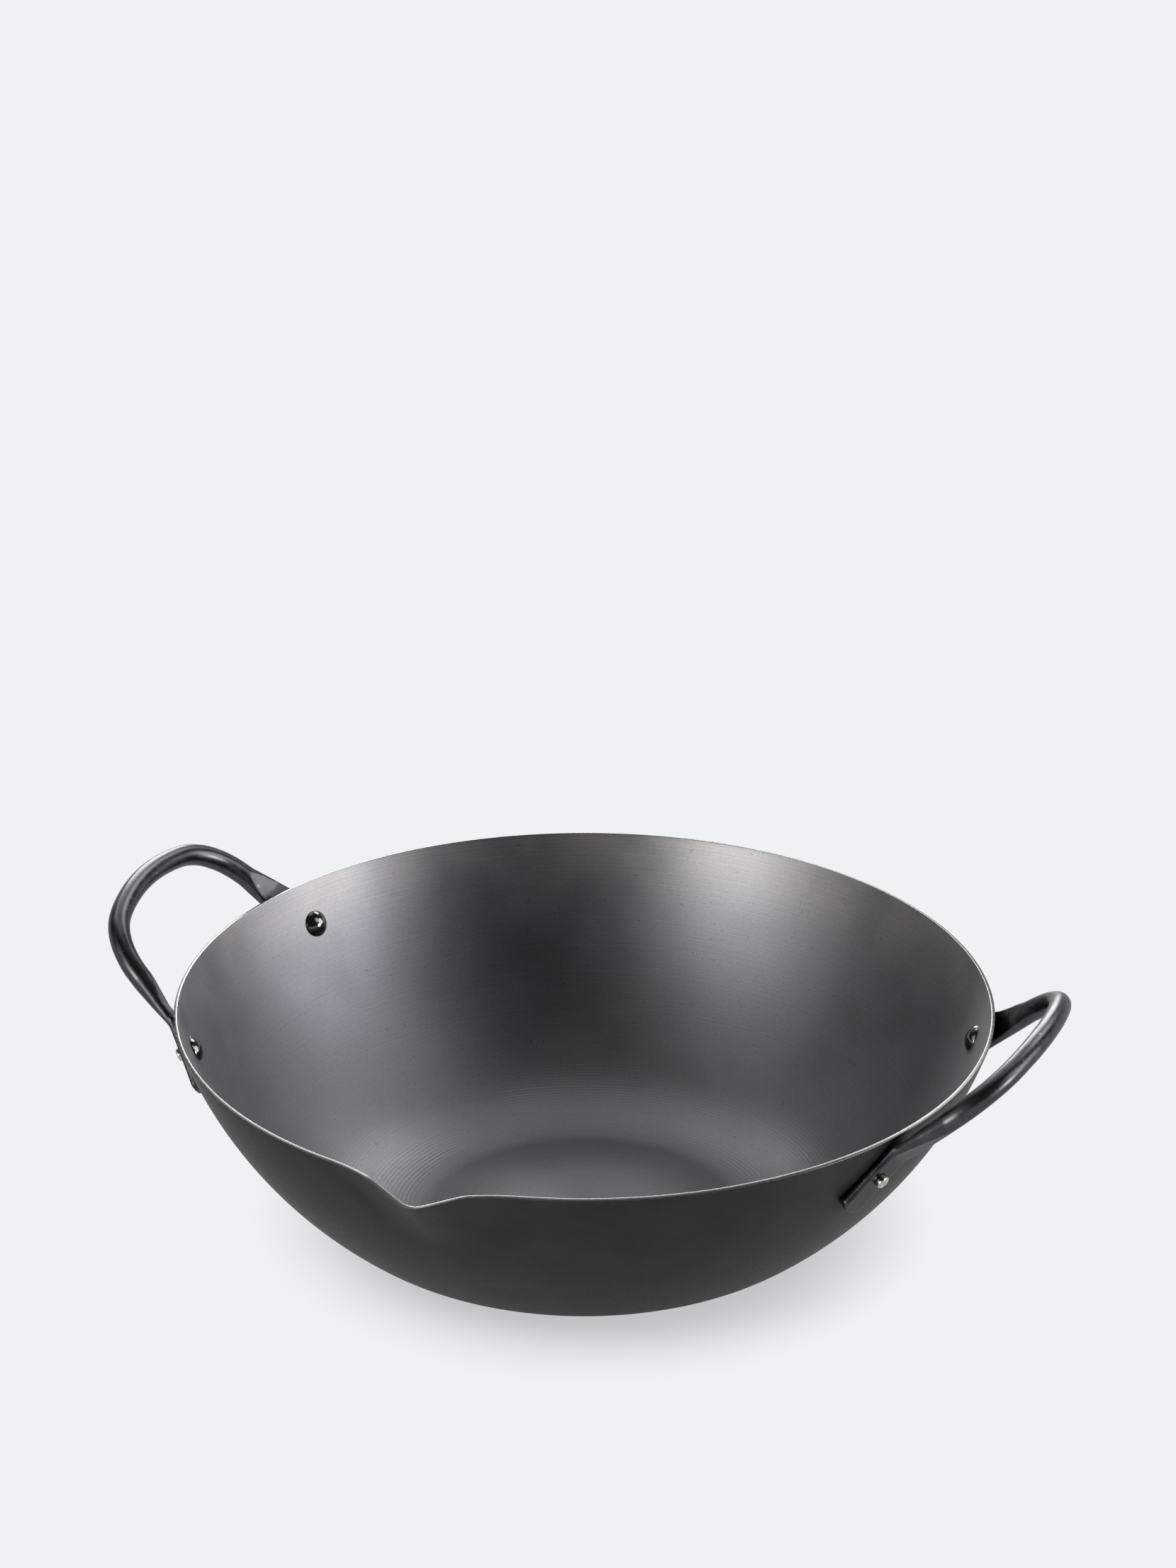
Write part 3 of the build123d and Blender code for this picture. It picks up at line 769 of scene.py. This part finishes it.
def studio_world(finish, stage):
    """A dark room with a pale backdrop: bright low down all round, and high up behind the wok."""
    world = bpy.data.worlds.new("studio")
    world.use_nodes = True
    tree = world.node_tree
    tree.nodes.clear()
    direction = add(tree, "TexCoord").outputs["Generated"]
    upward = add(tree, "SeparateXYZ", Vector=direction).outputs["Z"]
    # Behind the wok as the camera sees it, about 25 degrees up
    towards = (-sin(stage.azimuth) * 0.9, cos(stage.azimuth) * 0.9, 0.43)
    behind = add(tree, "VectorMath", DOT, _0=direction, _1=towards)
    skirting = add(tree, "MapRange", SMOOTH, Value=upward, From_Min=0.2, From_Max=0.12)
    patch = add(tree, "MapRange", SMOOTH, Value=behind, From_Min=0.55, From_Max=0.95, To_Max=0.5)
    backdrop = add(tree, "Math", {"operation": "MAXIMUM"}, _0=skirting, _1=patch)
    tone = add(tree, "Mix", COLOURS, _0=backdrop, _6=grey(stage.room), _7=shade(finish.background, 1))
    light = add(tree, "Background", Color=tone)
    add(tree, "OutputWorld", Surface=light)
    return world


def add_sun(name, azimuth, elevation, spread, strength):
    """A wide, distant lamp, placed by its direction in degrees seen from the camera's side."""
    lamp = bpy.data.lights.new(name, "SUN")
    lamp.angle = radians(spread)
    lamp.energy = strength
    sun = bpy.data.objects.new(name, lamp)
    a, e = radians(azimuth), radians(elevation)
    towards = Vector((cos(a) * cos(e), sin(a) * cos(e), sin(e)))
    sun.rotation_mode = "QUATERNION"
    sun.rotation_quaternion = towards.to_track_quat("Z", "Y")
    bpy.context.scene.collection.objects.link(sun)
    return sun


def add_camera(stage):
    """The photograph's camera."""
    a, e = stage.azimuth, stage.elevation
    right = Vector((cos(a), sin(a), 0))
    back = Vector((sin(a) * cos(e), -cos(a) * cos(e), sin(e)))
    data = bpy.data.cameras.new("camera")
    data.sensor_fit = "VERTICAL"
    data.sensor_width = data.sensor_height = 36
    data.lens = stage.lens
    data.clip_start, data.clip_end = 0.1, 100
    camera = bpy.data.objects.new("camera", data)
    camera.location = right * stage.target_right + Vector((0, 0, stage.target_height)) + back * stage.distance
    camera.rotation_mode = "QUATERNION"
    camera.rotation_quaternion = back.to_track_quat("Z", "Y")
    bpy.context.scene.collection.objects.link(camera)
    bpy.context.scene.camera = camera


# Azimuth from the camera's right, elevation and spread in degrees, strength, and what sees the lamp
LAMPS = {
    "front_lamp": (-135, 55, 40, 2.8, "matt"),
    "streak_lamp": (-129, 9, 18, 1.55, "gloss"),
    "wide_streak_lamp": (-140, 17, 26, 0.95, "gloss"),
    "left_lamp": (-165, 30, 30, 0.28, "gloss"),
    "side_lamp": (-18, 5, 18, 2.05, "gloss"),
    "wide_side_lamp": (5, 17, 30, 1.15, "gloss"),
    "high_side_lamp": (-12, 38, 26, 0.38, "gloss"),
    "right_back_lamp": (56, 38, 22, 0.75, "gloss"),
    "left_back_lamp": (120, 46, 20, 0.33, "gloss"),
    "back_lamp": (84, 38, 26, 0.18, "gloss"),
    "low_back_lamp": (96, 17, 26, 1.9, "gloss"),
    "top_lamp": (90, 70, 36, 0.3, "gloss"),
}


class WOK_OT_stage(bpy.types.Operator):
    """Set the pale floor, the lamps and the camera"""
    bl_idname = "wok.stage"
    bl_label = "Stage"

    def execute(self, context):
        stage, finish = context.scene.wok_stage, context.scene.wok_finish
        bm = bmesh.new()
        bmesh.ops.create_circle(bm, cap_ends=True, segments=64, radius=30)
        bmesh.ops.translate(bm, vec=(0, 0, -0.1 * MM), verts=bm.verts)
        mesh = bpy.data.meshes.new("floor")
        bm.to_mesh(mesh)
        bm.free()
        mesh.materials.append(pale_floor(finish))
        floor = bpy.data.objects.new("floor", mesh)
        context.scene.collection.objects.link(floor)
        for name, (azimuth, elevation, spread, strength, seen_by) in LAMPS.items():
            sun = add_sun(name, degrees(stage.azimuth) + azimuth, elevation, spread, strength)
            sun.visible_diffuse = seen_by == "matt"
            sun.visible_glossy = seen_by == "gloss"
        context.scene.world = studio_world(finish, stage)
        context.scene.view_settings.view_transform = "Standard"
        add_camera(stage)
        return {"FINISHED"}


class WOK_PT_panel(bpy.types.Panel):
    """Sizes, finishes and steps of the wok"""
    bl_label = "Carbon Steel Wok"
    bl_space_type = "VIEW_3D"
    bl_region_type = "UI"
    bl_category = "Wok"

    def draw(self, context):
        for group, operator in STEPS:
            box = self.layout.box()
            settings = getattr(context.scene, group)
            for name in settings.__annotations__:
                box.prop(settings, name)
            if operator:
                box.operator(operator)


GROUPS = {"wok_bowl": WokBowlSizes, "wok_handles": WokHandleSizes, "wok_rivets": WokRivetSizes,
          "wok_finish": WokFinish, "wok_stage": WokStage}
STEPS = (("wok_bowl", "wok.bowl"), ("wok_handles", "wok.handles"), ("wok_rivets", "wok.rivets"),
         ("wok_finish", None), ("wok_stage", "wok.stage"))
CLASSES = (*GROUPS.values(), WOK_OT_bowl, WOK_OT_handles, WOK_OT_rivets, WOK_OT_stage, WOK_PT_panel)


def register():
    for cls in CLASSES:
        bpy.utils.register_class(cls)
    for name, group in GROUPS.items():
        setattr(bpy.types.Scene, name, PointerProperty(type=group))


def unregister():
    for name in GROUPS:
        delattr(bpy.types.Scene, name)
    for cls in reversed(CLASSES):
        bpy.utils.unregister_class(cls)


def main():
    """Makes the wok and its stage."""
    register()
    bpy.ops.wok.bowl()
    bpy.ops.wok.handles()
    bpy.ops.wok.rivets()
    bpy.ops.wok.stage()


if __name__ == "__main__":
    main()
